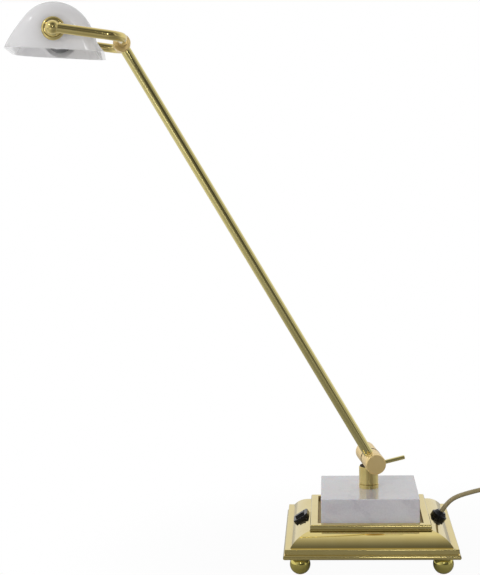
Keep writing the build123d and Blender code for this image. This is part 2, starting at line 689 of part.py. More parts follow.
def switch_housing(outside):
    bezel_plan = Pos(0, 0, -SWITCH_DEPTH / 2) * RectangleRounded(BEZEL_LENGTH, BEZEL_WIDTH, BEZEL_ROUND)
    bezel = extrude(bezel_plan, SWITCH_DEPTH / 2 + BEZEL_HEIGHT)
    bezel = fillet(bezel.faces().sort_by(Axis.Z)[-1].edges(), BEZEL_EDGE)
    body = Box(SWITCH_LENGTH, SWITCH_WIDTH, SWITCH_DEPTH, align=(Align.CENTER, Align.CENTER, Align.MAX))
    housing = (SWITCH_PLANE * bezel - outside) + SWITCH_PLANE * body
    floor = TRUNNION_HEIGHT - ROCKER_DEPTH - ROCKER_SWING
    window = Pos(0, 0, floor) * Box(WINDOW_LENGTH, WINDOW_WIDTH, SWITCH_DEPTH, align=BOTTOM)
    reach = WINDOW_WIDTH / 2 + TRUNNION_LENGTH
    trunnion = Pos(0, 0, TRUNNION_HEIGHT) * Rot(90, 0, 0) * rod(TRUNNION_DIA + 2 * RUNNING, -reach, reach)
    return housing - SWITCH_PLANE * (window + trunnion)


def switch_rocker():
    half = ROCKER_LENGTH / 2
    profile = Polyline(
        (-half, -ROCKER_DEPTH),
        (half, -ROCKER_DEPTH),
        (half, ROCKER_RISE),
        (0, ROCKER_RISE - ROCKER_DIP),
        (-half, ROCKER_RISE),
        close=True,
    )
    rocker = extrude(Plane.XZ * make_face(profile), ROCKER_WIDTH / 2, both=True)
    reach = ROCKER_WIDTH / 2 + ROCKER_GAP + TRUNNION_LENGTH - SLIP
    rocker += Rot(90, 0, 0) * rod(TRUNNION_DIA, -reach, reach)
    return SWITCH_PLANE * Pos(0, 0, TRUNNION_HEIGHT) * Rot(0, ROCKER_TILT, 0) * rocker


# Mains lead

BUSH_END = BUSH_HEIGHT + BUSH_NOSE_HEIGHT
CORD_STEP = CORD_DIA + COIL_GAP
COIL_Z = TIE_STRAP + TIE_UNDER_GAP + CORD_DIA / 2


def cord_bush(outside):
    flange = rod(BUSH_DIA, -BUSH_SHANK_LENGTH / 2, BUSH_HEIGHT)
    flange = fillet(flange.edges().sort_by(Axis.Z)[-1], BUSH_HEIGHT / 4)
    nose = Pos(0, 0, BUSH_HEIGHT) * Cone(
        BUSH_NOSE_DIA / 2, (BUSH_NOSE_DIA + CORD_DIA) / 4, BUSH_NOSE_HEIGHT, align=BOTTOM
    )
    shank = rod(BUSH_SHANK_DIA, -BUSH_SHANK_LENGTH, 0)
    return (BUSH_PLANE * flange - outside) + BUSH_PLANE * (nose + shank)


def cord_tube(name, points):
    """A round cord along straight runs joined by arcs as large as the runs allow."""
    runs = [after - before for before, after in zip(points, points[1:])]
    radii = []
    for before, after in zip(runs, runs[1:]):
        turn = radians(before.get_angle(after))
        radii.append(CORD_ARC_SHARE * min(before.length, after.length) / tan(turn / 2))
    path = FilletPolyline(*points, radius=radii)
    tube = sweep(Plane(origin=points[0], z_dir=runs[0]) * Circle(CORD_DIA / 2), path=path)
    share = tube.volume / (path.length * pi * CORD_DIA**2 / 4)
    print(name, "length", round(path.length, 1), "volume share", round(share, 4), "radii", [round(r) for r in radii])
    return tube


def route_points():
    """From the bush's end, over and down to the start of the coil on the table."""
    start = BUSH_SEAT + SLOPE_NORMAL * BUSH_END
    first = start + SLOPE_NORMAL * CORD_EXIT_RUN
    return [start, first] + [Vector(BEAD_REACH + x, y, z) for x, y, z in CORD_ROUTE]


def coil_path(point):
    """Half turns that spiral in and out at a steady rate and climb a layer where the spiral reverses."""
    step = CORD_STEP / 2
    heading = Vector(1, 0, 0)
    edges = [Line(point, point + heading * CORD_DIA)]
    point = edges[0] @ 1
    radius = COIL_OUTER
    inwards = True
    for layer, half_turns in enumerate(COIL_HALF_TURNS):
        for _ in range(half_turns):
            across = Vector(heading.Y, -heading.X, 0)
            end = point + across * (2 * radius)
            edges.append(ThreePointArc(point, point + (across + heading) * radius, end))
            point = end
            heading = -heading
            radius += -step if inwards else step
        if layer + 1 < len(COIL_HALF_TURNS):
            across = Vector(heading.Y, -heading.X, 0)
            rise = Vector(0, 0, CORD_STEP / 2)
            slant = across * radius + rise
            middle = point + slant + heading * slant.length
            end = point + slant * 2
            edges.append(TangentArc(point, middle, tangent=heading))
            edges.append(TangentArc(middle, end, tangent=slant))
            point = end
            heading = -heading
            inwards = not inwards
            radius += -step if inwards else step
    across = Vector(heading.Y, -heading.X, 0)
    end = point + (across + heading) * radius
    edges.append(TangentArc(point, end, tangent=heading))
    edges.append(Line(end, end + across * CORD_DIA))
    return edges


def least_gap(edges):
    """The smallest clear distance between turns of the coil, measured on points along it."""
    spacing = CORD_DIA / 2
    points = []
    for edge in edges:
        count = max(2, round(edge.length / spacing))
        points += [edge @ (i / count) for i in range(count)]
    apart = round(4 * CORD_DIA / spacing)
    pairs = ((a, b) for i, a in enumerate(points) for b in points[i + apart :])
    return min((a - b).length for a, b in pairs) - CORD_DIA


def cord_coil(edges):
    path = Wire(edges)
    print("cord_coil length", round(path.length, 1), "least gap", round(least_gap(edges), 2))
    start = Plane(origin=edges[0] @ 0, z_dir=edges[0] % 0)
    return sweep(start * Circle(CORD_DIA / 2), path=path)


def cord_tie(centre):
    """A loose strap round the coil's bundle of turns on its left side."""
    outer = COIL_OUTER + CORD_STEP / 2 + CORD_DIA / 2 + TIE_SIDE_GAP
    inner = COIL_OUTER - 2 * CORD_STEP - CORD_DIA / 2 - TIE_SIDE_GAP
    bottom = TIE_STRAP
    top = COIL_Z + (len(COIL_HALF_TURNS) - 1) * CORD_STEP + CORD_DIA / 2 + TIE_UNDER_GAP
    hole = Box(outer - inner, 2 * TIE_STRAP_WIDTH, top - bottom)
    strap = Box(outer - inner + 2 * TIE_STRAP, TIE_STRAP_WIDTH, top - bottom + 2 * TIE_STRAP)
    place = Pos(centre.X - (outer + inner) / 2, centre.Y, (bottom + top) / 2)
    return place * (strap - hole)


def tail_points(edges):
    """The last stretch of the lead, down from the top of the coil to the plug on the table."""
    start = edges[-1] @ 1
    return [start] + [start + Vector(x, -y, z) for x, y, z in TAIL_ROUTE]


def plug_place(end):
    """The plane where the sleeve on the lead meets the plug, with Z towards the pins."""
    return Plane(origin=end + Vector(0, -PLUG_SLEEVE, 0), x_dir=(1, 0, 0), z_dir=(0, -1, 0))


def plug_body(end):
    neck = RectangleRounded(PLUG_NECK, PLUG_NECK, PLUG_ROUND)
    face = RectangleRounded(PLUG_WIDTH, PLUG_HEIGHT, PLUG_ROUND)
    body = loft([neck, Pos(0, 0, PLUG_TAPER) * face], ruled=True)
    body += extrude(Pos(0, 0, PLUG_TAPER) * face, PLUG_LENGTH - PLUG_TAPER)
    top = (Align.CENTER, Align.CENTER, Align.MAX)
    body += Cone(PLUG_SLEEVE_DIA / 2, PLUG_NECK / 2, PLUG_SLEEVE, align=top)
    return plug_place(end) * body


def plug_pins(end):
    pin = rod(PIN_DIA, PLUG_LENGTH, PLUG_LENGTH + PIN_LENGTH)
    pin = fillet(pin.edges().sort_by(Axis.Z)[-1], PIN_DIA / 4)
    return Compound([plug_place(end) * Pos(side * PIN_SPREAD / 2, 0, 0) * pin for side in (-1, 1)])


def base_nodes():
    outside = base_outside()
    foot = ball_foot()
    nodes = {
        "base_shell": base_shell(outside),
        "bottom_plate": bottom_plate(),
        "ballast_weight": ballast_weight(),
        "marble_block": marble_block(),
        "foot_studs": Compound(at_corners(rod(STUD_DIA, BASE_Z - STUD_GRIP, PLATE_TOP + STUD_GRIP))),
        "tie_tube": ring(TIE_DIA, TIE_BORE, TIE_WASHER_BOTTOM - TIE_TAIL, MARBLE_TOP + COLLAR_SOCKET),
        "tie_washer": ring(TIE_WASHER_DIA, TIE_DIA + 2 * SLIP, TIE_WASHER_BOTTOM, BALLAST_BOTTOM),
        "tie_nut": tie_nut(),
        "pivot_collar": pivot_collar(),
        "switch_housing": switch_housing(outside),
        "switch_rocker": switch_rocker(),
        "cord_bush": cord_bush(outside),
    }
    for name, (x, y) in CORNERS.items():
        nodes["ball_foot_" + name] = Pos(x * FOOT_REACH, y * FOOT_REACH, 0) * foot
    return nodes


def swinging_nodes():
    nodes = {
        "swivel_post": swivel_post(),
        "post_washer": ring(POST_WASHER_DIA, NECK_DIA, POST_TOP, POST_TOP + POST_WASHER_THICKNESS),
        "pivot_barrel": pivot_barrel(),
        "friction_washer": BARREL_PLANE * ring(WASHER_DIA, BOLT_DIA, REAR_AHEAD, WASHER_FRONT),
        "pivot_bolt": BARREL_PLANE * rod(BOLT_DIA, REAR_AHEAD - BOLT_GRIP, KNOB_FRONT - BOLT_END),
        "arm_hub": arm_hub(),
        "arm_tube": arm_tube(),
        "top_barrel": top_barrel(),
        "clamp_knob": clamp_knob(),
        "clamp_lever": clamp_lever(),
        "yoke_spindle": TOP_PLANE * rod(YOKE_DIA - 2 * YOKE_WALL, -SPINDLE_LENGTH / 2, SPINDLE_LENGTH / 2),
        "glass_shade": glass_shade(),
        "stud_near": knob_stud("near", WASHER_INSIDE - NUT_HEIGHT),
        "stud_far": knob_stud("far", WASHER_INSIDE - HOLDER_FOOT_LENGTH),
        "stud_nut": stud_nut(),
        "lampholder": lampholder(),
        "bulb_cap": bulb_cap(),
        "bulb_glass": bulb_glass(),
        "bulb_filament": bulb_filament(),
    }
    for side in SIDES:
        nodes["yoke_arm_" + side] = yoke_arm(side)
        nodes["yoke_ball_" + side] = yoke_ball(side)
        nodes["rosette_" + side] = rosette(side)
        nodes["shade_washer_" + side] = shade_washer(side)
    return {name: swung(solid) for name, solid in nodes.items()}


def lead_nodes():
    route = route_points()
    coil = coil_path(route[-1])
    tail = tail_points(coil)
    centre = coil[1] @ 0 + Vector(0, -COIL_OUTER, 0)
    return {
        "mains_cord": cord_tube("mains_cord", route),
        "cord_coil": cord_coil(coil),
        "cord_tie": cord_tie(centre),
        "cord_tail": cord_tube("cord_tail", tail),
        "plug_body": plug_body(tail[-1]),
        "plug_pins": plug_pins(tail[-1]),
    }


def main():
    os.makedirs("parts", exist_ok=True)
    for name, solid in {**base_nodes(), **swinging_nodes(), **lead_nodes()}.items():
        export_step(solid, os.path.join("parts", name + ".step"))
    for name, point in (("barrel", HUB_POINT), ("top", TOP_POINT), ("shade", SHADE_POINT)):
        print(name, "axis", [round(v, 2) for v in point.rotate(Axis.Z, SWIVEL_ANGLE)])
    trunnion = SWITCH_PLANE.origin + SWITCH_PLANE.z_dir * TRUNNION_HEIGHT
    print("rocker axis", [round(v, 2) for v in trunnion], [round(v, 4) for v in SWITCH_PLANE.y_dir])


main()
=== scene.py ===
from math import copysign, cos, pi, radians, sin

import bmesh
import bpy
from mathutils import Matrix, Vector


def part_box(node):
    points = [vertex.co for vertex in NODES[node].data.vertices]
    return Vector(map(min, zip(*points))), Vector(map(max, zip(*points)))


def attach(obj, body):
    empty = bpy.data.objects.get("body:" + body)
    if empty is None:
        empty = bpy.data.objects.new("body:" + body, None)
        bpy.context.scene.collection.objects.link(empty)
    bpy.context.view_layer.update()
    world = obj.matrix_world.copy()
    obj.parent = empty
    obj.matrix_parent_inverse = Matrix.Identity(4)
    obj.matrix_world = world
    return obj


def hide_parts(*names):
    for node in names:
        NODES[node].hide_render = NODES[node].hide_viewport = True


# Looks of the swing arm lamp: materials on the CAD pieces, the mains lead as one smooth curve and its tie.
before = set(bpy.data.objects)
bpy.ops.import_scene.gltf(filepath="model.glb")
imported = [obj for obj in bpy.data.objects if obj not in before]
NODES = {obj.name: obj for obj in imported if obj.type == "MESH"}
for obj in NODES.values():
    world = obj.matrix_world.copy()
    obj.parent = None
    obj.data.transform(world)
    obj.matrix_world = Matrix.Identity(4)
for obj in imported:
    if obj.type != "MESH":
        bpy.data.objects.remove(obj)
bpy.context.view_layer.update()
MM = 0.001


def point(x, y, z):
    """A place given in millimetres."""
    return Vector((x, y, z)) * MM


# Camera at the photograph's angle

CAMERA_PLACE = (-37.07, -1391.25, 426.21)
CAMERA_YAW = 0.064
CAMERA_PITCH = 0.110
CAMERA_ROLL = -0.021
CAMERA_LENS = 87.74
CAMERA_CLIP = (0.05, 100)


def make_camera():
    """A camera turned by yaw, pitch and roll, in radians."""
    flat = cos(CAMERA_PITCH)
    forward = Vector((-sin(CAMERA_YAW) * flat, cos(CAMERA_YAW) * flat, -sin(CAMERA_PITCH)))
    level = Vector((cos(CAMERA_YAW), sin(CAMERA_YAW), 0))
    over = level.cross(forward)
    right = level * cos(CAMERA_ROLL) + over * sin(CAMERA_ROLL)
    up = over * cos(CAMERA_ROLL) - level * sin(CAMERA_ROLL)
    data = bpy.data.cameras.new("camera")
    data.lens = CAMERA_LENS
    data.clip_start, data.clip_end = CAMERA_CLIP
    camera = bpy.data.objects.new("camera", data)
    bpy.context.scene.collection.objects.link(camera)
    turn = Matrix((right, up, -forward)).transposed()
    camera.matrix_world = Matrix.Translation(point(*CAMERA_PLACE)) @ turn.to_4x4()
    bpy.context.scene.camera = camera


# Node trees


class Tree:
    """A short way to write shader nodes."""

    def __init__(self, owner):
        owner.use_nodes = True
        self.nodes = owner.node_tree.nodes
        self.links = owner.node_tree.links

    def add(self, kind, inputs=None, **settings):
        """A new node, with its settings made before its inputs."""
        made = self.nodes.new("ShaderNode" + kind)
        for name, value in settings.items():
            setattr(made, name, value)
        for name, value in (inputs or {}).items():
            self.set(made, name, value)
        return made

    def set(self, node, name, value):
        """Links a socket to an input, or gives the input a value."""
        socket = node.inputs[name]
        if isinstance(value, bpy.types.NodeSocket):
            self.links.new(value, socket)
        else:
            socket.default_value = value

    def math(self, operation, first, second=0.0, third=0.0, clamp=False):
        made = self.add("Math", operation=operation, use_clamp=clamp)
        for index, value in enumerate((first, second, third)):
            self.set(made, index, value)
        return made.outputs[0]

    def ramp(self, value, *stops):
        """A smooth colour ramp from (place, colour) stops."""
        made = self.add("ValToRGB", {"Fac": value})
        made.color_ramp.interpolation = "EASE"
        elements = made.color_ramp.elements
        while len(elements) < len(stops):
            elements.new(0.5)
        for element, (place, colour) in zip(elements, stops):
            element.position = place
            element.color = (*colour, 1)
        return made.outputs["Color"]

    def mix(self, factor, first, second):
        """The first colour, with the second over it where the factor is 1."""
        inputs = {"Factor": factor, "A": first, "B": second}
        return self.add("Mix", inputs, data_type="RGBA").outputs["Result"]

    def range(self, value, low, high):
        """A value of 0 to 1 stretched from low to high."""
        return self.add("MapRange", {"Value": value, "To Min": low, "To Max": high}).outputs["Result"]

    def step(self, value, start, end):
        """A smooth step from 0 at start to 1 at end."""
        made = self.add("MapRange", {"Value": value, "From Min": start, "From Max": end})
        made.interpolation_type = "SMOOTHSTEP"
        return made.outputs["Result"]

    def place(self, scale=(1, 1, 1), turn=(0, 0, 0)):
        """Object coordinates in metres, turned and stretched."""
        inputs = {"Vector": self.add("TexCoord").outputs["Object"], "Rotation": turn, "Scale": scale}
        return self.add("Mapping", inputs).outputs["Vector"]

    def noise(self, vector, scale, detail=3.0, roughness=0.5, distortion=0.0):
        inputs = {"Vector": vector, "Scale": scale, "Detail": detail}
        inputs.update({"Roughness": roughness, "Distortion": distortion})
        return self.add("TexNoise", inputs).outputs["Fac"]

    def bump(self, height, distance, normal=None):
        inputs = {"Height": height, "Distance": distance, "Strength": 1.0}
        if normal is not None:
            inputs["Normal"] = normal
        return self.add("Bump", inputs).outputs["Normal"]


# Where the deep and the bright tone of a material sit on its noise

DEEP_AT = 0.3
BRIGHT_AT = 0.7


def new_material(name, **values):
    """A material with one Principled shader, and its node tree."""
    made = bpy.data.materials.new(name)
    tree = Tree(made)
    shader = tree.nodes["Principled BSDF"]
    for socket, value in values.items():
        tree.set(shader, socket.replace("_", " "), value)
    tree.shader = shader
    tree.material = made
    return tree


# Brass: tones, then the tray, whose recess is darkened with painted shade and dust, and the height of the
# surface's grain in metres

BRASS_BRIGHT = (0.80, 0.66, 0.27)
BRASS_DEEP = (0.77, 0.62, 0.235)
SATIN_BRIGHT = (0.98, 0.745, 0.345)
SATIN_DEEP = (0.94, 0.70, 0.305)
ARM_BRIGHT = (0.80, 0.70, 0.30)
ARM_DEEP = (0.77, 0.665, 0.27)
BALL_BRIGHT = (0.78, 0.68, 0.21)
BALL_DEEP = (0.73, 0.625, 0.17)
# Painted shade and dust: the colour and added roughness of the tray's recess
RECESS_SHADE_AND_DUST = (0.62, 0.50, 0.25, 1)
RECESS_SHADE_AND_DUST_ROUGH = 0.5
TRAY_HALF = 0.0516
TRAY_FLOOR = 0.039
RECESS_EDGE = 0.0002
SMEAR_SHARE = 0.25
QUARTER_TURN = 0.25
POST_SWIVEL = radians(8.4)
ALONG_BARREL = (0.06, 1, 0.06)
FINE_GRAIN = 0.0000006
SHEET_GRAIN = 0.0000001
SHEET_WAVE = 0.00010
TUBE_GRAIN = 0.00000005
SATIN_GRAIN = 0.000003


def brass(
    name,
    bright,
    deep,
    rough,
    brush=(1, 1, 1),
    brush_turn=(0, 0, 0),
    grain=FINE_GRAIN,
    wave=0.0,
    recess=None,
    metal=1.0,
    stretch=None,
):
    """Lacquered brass: patches of deeper tone, polish that varies, fine brush lines and a faint unevenness.

    A recess, given by its half width and the height of its floor in metres, is painted darker and rougher:
    painted shade, with some dust.
    A stretch draws reflections out upwards, as turning marks round an upright piece do.
    """
    tree = new_material(name, Metallic=metal)
    shader = tree.shader
    place = tree.place()
    patches = tree.noise(place, scale=30.0, detail=4.0, roughness=0.6)
    colour = tree.ramp(patches, (DEEP_AT, deep), (BRIGHT_AT, bright))
    smears = tree.noise(place, scale=75.0, detail=5.0, roughness=0.65, distortion=0.6)
    polish = tree.range(smears, rough * (1 - SMEAR_SHARE), rough * (1 + SMEAR_SHARE))
    if recess:
        half, floor = recess
        axes = tree.add("SeparateXYZ", {"Vector": place}).outputs
        reach = tree.math("MAXIMUM", tree.math("ABSOLUTE", axes["X"]), tree.math("ABSOLUTE", axes["Y"]))
        within = tree.step(reach, half + RECESS_EDGE, half)
        inside = tree.math("MULTIPLY", within, tree.step(axes["Z"], floor - RECESS_EDGE, floor))
        # Painted shade and dust: the recess round the marble is coloured darker, as shade falls in it
        colour = tree.mix(inside, colour, RECESS_SHADE_AND_DUST)
        polish = tree.math("MULTIPLY_ADD", inside, RECESS_SHADE_AND_DUST_ROUGH, polish)
    if stretch:
        around = tree.add("Tangent", direction_type="RADIAL", axis="Z").outputs["Tangent"]
        tree.set(shader, "Anisotropic", stretch)
        tree.set(shader, "Anisotropic Rotation", QUARTER_TURN)
        tree.set(shader, "Tangent", around)
    tree.set(shader, "Base Color", colour)
    tree.set(shader, "Roughness", polish)
    brush_place = tree.place(brush, brush_turn)
    normal = tree.bump(tree.noise(brush_place, scale=900.0, roughness=0.6), grain)
    if wave:
        normal = tree.bump(tree.noise(place, scale=19.0, detail=1.0, roughness=0.4), wave, normal)
    tree.set(shader, "Normal", normal)
    return tree.material


# Marble, glass, plastic and plain metal

MARBLE_STRETCH = (1.0, 1.0, 1.7)
MARBLE_SLANT = (0.3, radians(38), 0.4)
MARBLE_CLOUDS = ((0.30, (0.50, 0.48, 0.52)), (0.50, (0.57, 0.555, 0.585)), (0.72, (0.63, 0.62, 0.635)))
MARBLE_VEIN = (0.38, 0.36, 0.415, 1)
MARBLE_VEIN_STOPS = ((0.0, (0, 0, 0)), (0.88, (0, 0, 0)), (0.98, (1, 1, 1)))
MARBLE_VEIN_SHARES = (-0.1, 0.6)
MARBLE_CRYSTAL = (0.80, 0.79, 0.82, 1)
MARBLE_CRYSTAL_SHARES = (-0.25, 0.5)
MARBLE_GLOW_SHARE = 0.15
MARBLE_GLOW_DEPTH = 0.003
MARBLE_GRAIN = 0.000004


def marble():
    """Grey clouds and a few slanting veins under fine pale crystals, with a polished top coat."""
    tree = new_material("marble", Roughness=0.12, Coat_Weight=0.6, Coat_Roughness=0.04, IOR=1.5)
    shader = tree.shader
    place = tree.place()
    slanted = tree.place(MARBLE_STRETCH, MARBLE_SLANT)
    clouds = tree.noise(slanted, scale=18.0, detail=6.0, roughness=0.6, distortion=0.8)
    ground = tree.ramp(clouds, *MARBLE_CLOUDS)
    wave = {"Vector": slanted, "Scale": 6.4, "Distortion": 10.0}
    wave.update({"Detail": 5.0, "Detail Scale": 1.6, "Detail Roughness": 0.62})
    bands = tree.add("TexWave", wave, bands_direction="X").outputs["Fac"]
    vein = tree.ramp(bands, *MARBLE_VEIN_STOPS)
    strength = tree.range(tree.noise(place, scale=26.0), *MARBLE_VEIN_SHARES)
    veined = tree.mix(tree.math("MULTIPLY", vein, strength, clamp=True), ground, MARBLE_VEIN)
    crystals = tree.range(tree.noise(place, scale=520.0, roughness=0.7), *MARBLE_CRYSTAL_SHARES)
    tree.set(shader, "Base Color", tree.mix(crystals, veined, MARBLE_CRYSTAL))
    tree.set(shader, "Subsurface Weight", MARBLE_GLOW_SHARE)
    tree.set(shader, "Subsurface Scale", MARBLE_GLOW_DEPTH)
    tree.set(shader, "Normal", tree.bump(tree.noise(place, scale=420.0, detail=2.0), MARBLE_GRAIN))
    return tree.material


OPAL_SHARE = 0.60
WASHER_SHARE = 0.45
THROUGH_TINT = (0.95, 0.945, 0.95, 1)
GLOSS_TINT = (1, 1, 1, 1)
GLOSS_ROUGH = 0.07
GLASS_IOR = 1.5
OPAL_DEEP = (0.94, 0.93, 0.935)
OPAL_BRIGHT = (0.97, 0.96, 0.965)
OPAL_ROUGH = (0.08, 0.18)
OPAL_GLOW_SHARE = 0.8
OPAL_GLOW_DEPTH = 0.008
OPAL_GLOW_RADIUS = (1.0, 1.0, 1.0)
OPAL_WAVE = 0.00008


def pass_light(tree, share):
    """Lets a share of the light through the wall, under a clear gloss."""
    through = tree.add("BsdfTranslucent", {"Color": THROUGH_TINT}).outputs["BSDF"]
    body = tree.add("MixShader", {0: share, 1: tree.shader.outputs["BSDF"], 2: through}).outputs["Shader"]
    gloss = tree.add("BsdfGlossy", {"Color": GLOSS_TINT, "Roughness": GLOSS_ROUGH}).outputs["BSDF"]
    outside = tree.math("SUBTRACT", 1.0, tree.add("NewGeometry").outputs["Backfacing"])
    mirrored = tree.math("MULTIPLY", tree.add("Fresnel", {"IOR": GLASS_IOR}).outputs["Fac"], outside)
    coated = tree.add("MixShader", {0: mirrored, 1: body, 2: gloss}).outputs["Shader"]
    tree.set(tree.nodes["Material Output"], "Surface", coated)


def opal_glass():
    """Milk glass: white with a soft gloss, and some of the light passes through the wall."""
    tree = new_material("opal_glass", IOR=GLASS_IOR)
    shader = tree.shader
    place = tree.place()
    cloud = tree.noise(place, scale=24.0)
    smears = tree.noise(place, scale=130.0, detail=4.0, roughness=0.6)
    tree.set(shader, "Base Color", tree.ramp(cloud, (DEEP_AT, OPAL_DEEP), (BRIGHT_AT, OPAL_BRIGHT)))
    tree.set(shader, "Roughness", tree.range(smears, *OPAL_ROUGH))
    tree.set(shader, "Subsurface Weight", OPAL_GLOW_SHARE)
    tree.set(shader, "Subsurface Scale", OPAL_GLOW_DEPTH)
    tree.set(shader, "Subsurface Radius", OPAL_GLOW_RADIUS)
    tree.set(shader, "Normal", tree.bump(tree.noise(place, scale=34.0, detail=1.0), OPAL_WAVE))
    pass_light(tree, OPAL_SHARE)
    return tree.material


CLEAN_GLASS = (0.97, 0.97, 0.97)
DUSTY_GLASS = (0.93, 0.93, 0.92)
DUST_STOPS = (0.3, 0.8)
DUST_ROUGH = (0.0, 0.03)


def clear_glass():
    """The bulb's glass, with a trace of dust."""
    tree = new_material("clear_glass", Transmission_Weight=1.0, IOR=1.45)
    shader = tree.shader
    dust = tree.noise(tree.place(), scale=160.0, detail=4.0, roughness=0.6)
    tree.set(shader, "Base Color", tree.ramp(dust, *zip(DUST_STOPS, (CLEAN_GLASS, DUSTY_GLASS))))
    tree.set(shader, "Roughness", tree.range(dust, *DUST_ROUGH))
    return tree.material


BLACK_DEEP = (0.005, 0.005, 0.0055)
BLACK_WORN = (0.013, 0.013, 0.014)
WEAR_STOPS = (0.35, 0.75)
BLACK_ROUGH = (0.10, 0.26)
PLASTIC_GRAIN = 0.00001


def black_plastic():
    """Black plastic with a soft gloss, a little paler where it is worn."""
    tree = new_material("black_plastic", IOR=1.5, Specular_IOR_Level=0.32)
    shader = tree.shader
    place = tree.place()
    wear = tree.noise(place, scale=60.0, detail=5.0, roughness=0.6)
    smears = tree.noise(place, scale=210.0, detail=4.0, roughness=0.6)
    tree.set(shader, "Base Color", tree.ramp(wear, *zip(WEAR_STOPS, (BLACK_DEEP, BLACK_WORN))))
    tree.set(shader, "Roughness", tree.range(smears, *BLACK_ROUGH))
    tree.set(shader, "Normal", tree.bump(tree.noise(place, scale=900.0, detail=2.0), PLASTIC_GRAIN))
    return tree.material


METAL_GRAIN = 0.00001
METAL_SMEAR_SHARE = 0.3
MATTE_SMEAR_SHARE = 0.15
FIBRES_PER_SMEAR = 5


def plain_metal(name, bright, deep, rough, metallic=1.0, grain=METAL_GRAIN):
    """Plain metal in two tones, with a polish that varies and a fine grain."""
    tree = new_material(name, Metallic=metallic)
    shader = tree.shader
    place = tree.place()
    patches = tree.noise(place, scale=55.0, detail=5.0, roughness=0.6)
    smears = tree.noise(place, scale=180.0, detail=4.0, roughness=0.6)
    smooth = rough * (1 - METAL_SMEAR_SHARE)
    dull = rough * (1 + METAL_SMEAR_SHARE)
    tree.set(shader, "Base Color", tree.ramp(patches, (DEEP_AT, deep), (BRIGHT_AT, bright)))
    tree.set(shader, "Roughness", tree.range(smears, smooth, dull))
    tree.set(shader, "Normal", tree.bump(tree.noise(place, scale=700.0, roughness=0.6), grain))
    return tree.material


def matte(name, bright, deep, rough, scale, grain, through=None):
    """A matte material of fine fibres or specks, which may let a share of the light through."""
    tree = new_material(name)
    shader = tree.shader
    place = tree.place()
    fibres = tree.noise(place, scale, detail=5.0, roughness=0.65)
    smears = tree.noise(place, scale / FIBRES_PER_SMEAR)
    smooth = rough * (1 - MATTE_SMEAR_SHARE)
    dull = min(1.0, rough * (1 + MATTE_SMEAR_SHARE))
    tree.set(shader, "Base Color", tree.ramp(fibres, (DEEP_AT, deep), (BRIGHT_AT, bright)))
    tree.set(shader, "Roughness", tree.range(smears, smooth, dull))
    tree.set(shader, "Normal", tree.bump(fibres, grain))
    if through:
        pass_light(tree, through)
    return tree.material


SLEEVE_DEEP = (0.300, 0.245, 0.125)
SLEEVE_BRIGHT = (0.335, 0.275, 0.145)
SLEEVE_STOPS = (0.2, 0.8)
SLEEVE_ROUGH = (0.32, 0.48)
TWISTS = 170.0
TWIST_SHARE = 0.5
TWIST_RISE = 0.00001


def gold_cord():
    """Clear gold sleeve over two twisted cores, which show faintly as slanting bands."""
    tree = new_material("gold_cord", IOR=1.48, Coat_Weight=0.35, Coat_Roughness=0.15)
    shader = tree.shader
    along = tree.add("TexCoord").outputs["UV"]
    stretched = tree.add("Mapping", {"Vector": along, "Scale": (TWISTS, 1.0, 1.0)}).outputs["Vector"]
    wave = {"Vector": stretched, "Scale": 1.0, "Distortion": 0.0}
    twist = tree.add("TexWave", wave, wave_type="BANDS", bands_direction="DIAGONAL").outputs["Fac"]
    tone = tree.noise(tree.place(), scale=90.0, detail=4.0, roughness=0.6)
    banded = tree.math("MULTIPLY", twist, TWIST_SHARE)
    mixed = tree.math("ADD", banded, tree.math("MULTIPLY", tone, 1 - TWIST_SHARE))
    tree.set(shader, "Base Color", tree.ramp(mixed, *zip(SLEEVE_STOPS, (SLEEVE_DEEP, SLEEVE_BRIGHT))))
    tree.set(shader, "Roughness", tree.range(tone, *SLEEVE_ROUGH))
    tree.set(shader, "Normal", tree.bump(twist, TWIST_RISE))
    return tree.material


def assign(material, *names):
    """Gives the CAD pieces of these names the material."""
    for name in names:
        mesh = NODES[name].data
        mesh.materials.clear()
        mesh.materials.append(material)


def dress_brass():
    """The base, the feet, the post, the barrels, the arm and the yoke, each polished in its own way."""
    plain = (BRASS_BRIGHT, BRASS_DEEP)
    tray = (TRAY_HALF, TRAY_FLOOR)
    sheet = brass("brass_sheet", *plain, rough=0.08, grain=SHEET_GRAIN, wave=SHEET_WAVE, recess=tray)
    turned = brass("brass_turned", *plain, rough=0.07)
    ball = brass("brass_ball", BALL_BRIGHT, BALL_DEEP, rough=0.04)
    tube = brass("brass_tube", *plain, rough=0.06, grain=TUBE_GRAIN)
    brushed = {"brush": ALONG_BARREL, "brush_turn": (0, 0, -POST_SWIVEL), "grain": SATIN_GRAIN}
    satin = brass("brass_satin", SATIN_BRIGHT, SATIN_DEEP, rough=0.36, metal=0.72, **brushed)
    post = brass("brass_post", *plain, rough=0.30, stretch=1.0)
    arm = brass("brass_arm", ARM_BRIGHT, ARM_DEEP, rough=0.06, grain=TUBE_GRAIN)
    assign(sheet, "base_shell")
    assign(post, "pivot_collar", "swivel_post")
    assign(ball, "ball_foot_front_left", "ball_foot_front_right")
    assign(ball, "ball_foot_back_left", "ball_foot_back_right")
    assign(turned, "yoke_ball_near", "yoke_ball_far", "rosette_near", "rosette_far")
    assign(tube, "yoke_arm_near", "yoke_arm_far")
    assign(arm, "arm_tube", "clamp_lever")
    assign(satin, "pivot_barrel", "arm_hub", "clamp_knob", "top_barrel")


